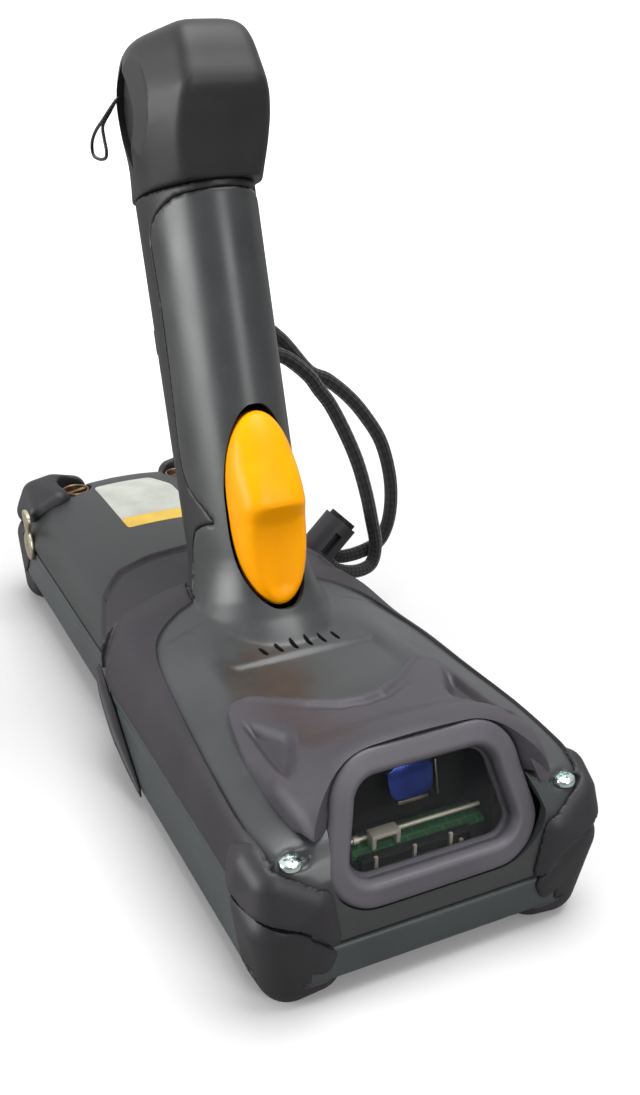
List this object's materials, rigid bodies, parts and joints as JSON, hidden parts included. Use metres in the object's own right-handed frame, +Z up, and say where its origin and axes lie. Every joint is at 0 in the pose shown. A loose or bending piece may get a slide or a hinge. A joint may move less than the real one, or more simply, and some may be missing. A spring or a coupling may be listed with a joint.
{
  "type": "portable barcode data terminal",
  "caption": "Rugged handheld data terminal lying on its display, with a pistol grip, yellow trigger, scan window, corner bumpers and wrist lanyard.",
  "frame": {"origin": "middle of the object's outline on the table it lies on", "axes": "+X to the right seen from the scan window's side, +Y from the scan window to the keypad end, +Z up along the way the grip stands"},
  "size_m": [0.1213, 0.231, 0.1937],
  "materials": {
    "housing_grey": "fine texture, mid grey",
    "housing_satin": "satin charcoal moulding",
    "cover_grey": "satin dark grey moulding",
    "seal_rubber": "matt black",
    "collar_rubber": "matt dark rubber",
    "hood_rubber": "matt warm grey rubber",
    "bezel_rubber": "soft black rubber",
    "boot_rubber": "matt dark rubber",
    "window_clear": "clear scan window",
    "engine_metal": "cast, matt",
    "mirror_blue": "blue coated mirror",
    "board_green": "solder resist",
    "module_metal": "pressed tray",
    "touch_glass": "dark display glass",
    "mat_silicone": "silicone",
    "inner_black": "matt black moulding",
    "contact_gold": "gold plated",
    "button_red": "satin",
    "grip_dark": "fine matt moulding",
    "trigger_yellow": "satin gloss yellow",
    "steel_plain": "plain steel",
    "cell_sleeve": "blue shrink sleeve over the cell's can",
    "foot_dark": "satin dark moulding",
    "screw_chrome": "bright plated",
    "coin_bronze": "bronze plated",
    "label_white": "blank white label with a yellow edge",
    "clip_beige": "beige coated",
    "cord_black": "black braid",
    "key_light": "satin light key",
    "key_grey": "satin grey key"
  },
  "bodies": {
    "terminal": {"display_housing": "housing_grey", "back_housing": "housing_satin", "rear_cover": "cover_grey", "housing_seal": "seal_rubber", "rubber_collar": "collar_rubber", "scan_hood": "hood_rubber", "window_bezel": "bezel_rubber", "exit_window": "window_clear", "front_boots_upper": "boot_rubber", "front_boots_lower": "boot_rubber", "rear_boots_upper": "boot_rubber", "rear_boots_lower": "boot_rubber", "scan_engine": "engine_metal", "scan_mirror": "mirror_blue", "engine_board": "board_green", "main_board": "board_green", "display_module": "module_metal", "touch_panel": "touch_glass", "keypad_mat": "mat_silicone", "speaker": "inner_black", "dock_contacts": "contact_gold", "grip_rear_shell": "grip_dark", "trigger_pin": "steel_plain", "trigger_spring": "steel_plain", "trigger_bracket": "steel_plain", "trigger_switch": "inner_black", "battery_contacts": "inner_black", "housing_screws": "screw_chrome", "rating_label": "label_white", "strap_clip": "clip_beige", "lanyard_anchor": "inner_black", "lanyard_cord": "cord_black", "cord_lock": "inner_black"},
    "trigger": {"trigger": "trigger_yellow"},
    "battery": {"battery_case": "inner_black", "battery_cells": "cell_sleeve", "battery_foot": "foot_dark", "tether_loop": "cord_black"},
    "latch_left": {"battery_latch_left": "foot_dark"},
    "latch_right": {"battery_latch_right": "foot_dark"},
    "power_key": {"power_button": "button_red"},
    "coin_left": {"coin_screw_left": "coin_bronze"},
    "coin_right": {"coin_screw_right": "coin_bronze"},
    "lock_plunger": {"cord_lock_button": "inner_black"},
    "key_1_1_body": {"key_1_1": "key_light"},
    "key_1_2_body": {"key_1_2": "key_light"},
    "key_1_3_body": {"key_1_3": "key_light"},
    "key_1_4_body": {"key_1_4": "key_grey"},
    "key_2_1_body": {"key_2_1": "key_light"},
    "key_2_2_body": {"key_2_2": "key_light"},
    "key_2_3_body": {"key_2_3": "key_light"},
    "key_2_4_body": {"key_2_4": "key_grey"},
    "key_3_1_body": {"key_3_1": "key_light"},
    "key_3_2_body": {"key_3_2": "key_light"},
    "key_3_3_body": {"key_3_3": "key_light"},
    "key_3_4_body": {"key_3_4": "key_grey"},
    "key_4_1_body": {"key_4_1": "key_grey"},
    "key_4_2_body": {"key_4_2": "key_grey"},
    "key_4_3_body": {"key_4_3": "key_grey"},
    "key_4_4_body": {"key_4_4": "key_grey"}
  },
  "joints": [
    {"name": "trigger_pull", "type": "hinge", "parent": "terminal", "child": "trigger", "pos_m": [0, -0.01786, 0.05315], "axis": [-1, 0, 0], "range_deg": [0, 7], "stiffness_Nm_per_rad": 0.12, "springref_deg": -17.19, "deforming": ["trigger_spring"]},
    {"name": "battery_slide", "type": "slide", "parent": "terminal", "child": "battery", "axis": [0, 0.3173, 0.9483], "range_m": [0, 0.12]},
    {"name": "latch_left_press", "type": "slide", "parent": "battery", "child": "latch_left", "axis": [1, 0, 0], "range_m": [0, 0.0012], "stiffness_N_per_m": 600, "springref_m": -0.002},
    {"name": "latch_right_press", "type": "slide", "parent": "battery", "child": "latch_right", "axis": [-1, 0, 0], "range_m": [0, 0.0012], "stiffness_N_per_m": 600, "springref_m": -0.002},
    {"name": "power_press", "type": "slide", "parent": "terminal", "child": "power_key", "axis": [0, 0, 1], "range_m": [0, 0.0006], "stiffness_N_per_m": 600, "springref_m": -0.001},
    {"name": "coin_left_turn", "type": "hinge", "parent": "terminal", "child": "coin_left", "pos_m": [-0.019, 0.1045, 0.035], "axis": [0, 0, 1], "range_deg": [0, 90]},
    {"name": "coin_right_turn", "type": "hinge", "parent": "terminal", "child": "coin_right", "pos_m": [0.019, 0.1045, 0.035], "axis": [0, 0, 1], "range_deg": [0, 90]},
    {"name": "lock_press", "type": "slide", "parent": "terminal", "child": "lock_plunger", "axis": [-0.7071, 0, -0.7071], "range_m": [0, 0.0013], "stiffness_N_per_m": 600, "springref_m": -0.002},
    {"name": "key_1_1_press", "type": "slide", "parent": "terminal", "child": "key_1_1_body", "axis": [0, 0, 1], "range_m": [0, 0.0008], "stiffness_N_per_m": 500, "springref_m": -0.001},
    {"name": "key_1_2_press", "type": "slide", "parent": "terminal", "child": "key_1_2_body", "axis": [0, 0, 1], "range_m": [0, 0.0008], "stiffness_N_per_m": 500, "springref_m": -0.001},
    {"name": "key_1_3_press", "type": "slide", "parent": "terminal", "child": "key_1_3_body", "axis": [0, 0, 1], "range_m": [0, 0.0008], "stiffness_N_per_m": 500, "springref_m": -0.001},
    {"name": "key_1_4_press", "type": "slide", "parent": "terminal", "child": "key_1_4_body", "axis": [0, 0, 1], "range_m": [0, 0.0008], "stiffness_N_per_m": 500, "springref_m": -0.001},
    {"name": "key_2_1_press", "type": "slide", "parent": "terminal", "child": "key_2_1_body", "axis": [0, 0, 1], "range_m": [0, 0.0008], "stiffness_N_per_m": 500, "springref_m": -0.001},
    {"name": "key_2_2_press", "type": "slide", "parent": "terminal", "child": "key_2_2_body", "axis": [0, 0, 1], "range_m": [0, 0.0008], "stiffness_N_per_m": 500, "springref_m": -0.001},
    {"name": "key_2_3_press", "type": "slide", "parent": "terminal", "child": "key_2_3_body", "axis": [0, 0, 1], "range_m": [0, 0.0008], "stiffness_N_per_m": 500, "springref_m": -0.001},
    {"name": "key_2_4_press", "type": "slide", "parent": "terminal", "child": "key_2_4_body", "axis": [0, 0, 1], "range_m": [0, 0.0008], "stiffness_N_per_m": 500, "springref_m": -0.001},
    {"name": "key_3_1_press", "type": "slide", "parent": "terminal", "child": "key_3_1_body", "axis": [0, 0, 1], "range_m": [0, 0.0008], "stiffness_N_per_m": 500, "springref_m": -0.001},
    {"name": "key_3_2_press", "type": "slide", "parent": "terminal", "child": "key_3_2_body", "axis": [0, 0, 1], "range_m": [0, 0.0008], "stiffness_N_per_m": 500, "springref_m": -0.001},
    {"name": "key_3_3_press", "type": "slide", "parent": "terminal", "child": "key_3_3_body", "axis": [0, 0, 1], "range_m": [0, 0.0008], "stiffness_N_per_m": 500, "springref_m": -0.001},
    {"name": "key_3_4_press", "type": "slide", "parent": "terminal", "child": "key_3_4_body", "axis": [0, 0, 1], "range_m": [0, 0.0008], "stiffness_N_per_m": 500, "springref_m": -0.001},
    {"name": "key_4_1_press", "type": "slide", "parent": "terminal", "child": "key_4_1_body", "axis": [0, 0, 1], "range_m": [0, 0.0008], "stiffness_N_per_m": 500, "springref_m": -0.001},
    {"name": "key_4_2_press", "type": "slide", "parent": "terminal", "child": "key_4_2_body", "axis": [0, 0, 1], "range_m": [0, 0.0008], "stiffness_N_per_m": 500, "springref_m": -0.001},
    {"name": "key_4_3_press", "type": "slide", "parent": "terminal", "child": "key_4_3_body", "axis": [0, 0, 1], "range_m": [0, 0.0008], "stiffness_N_per_m": 500, "springref_m": -0.001},
    {"name": "key_4_4_press", "type": "slide", "parent": "terminal", "child": "key_4_4_body", "axis": [0, 0, 1], "range_m": [0, 0.0008], "stiffness_N_per_m": 500, "springref_m": -0.001}
  ]
}
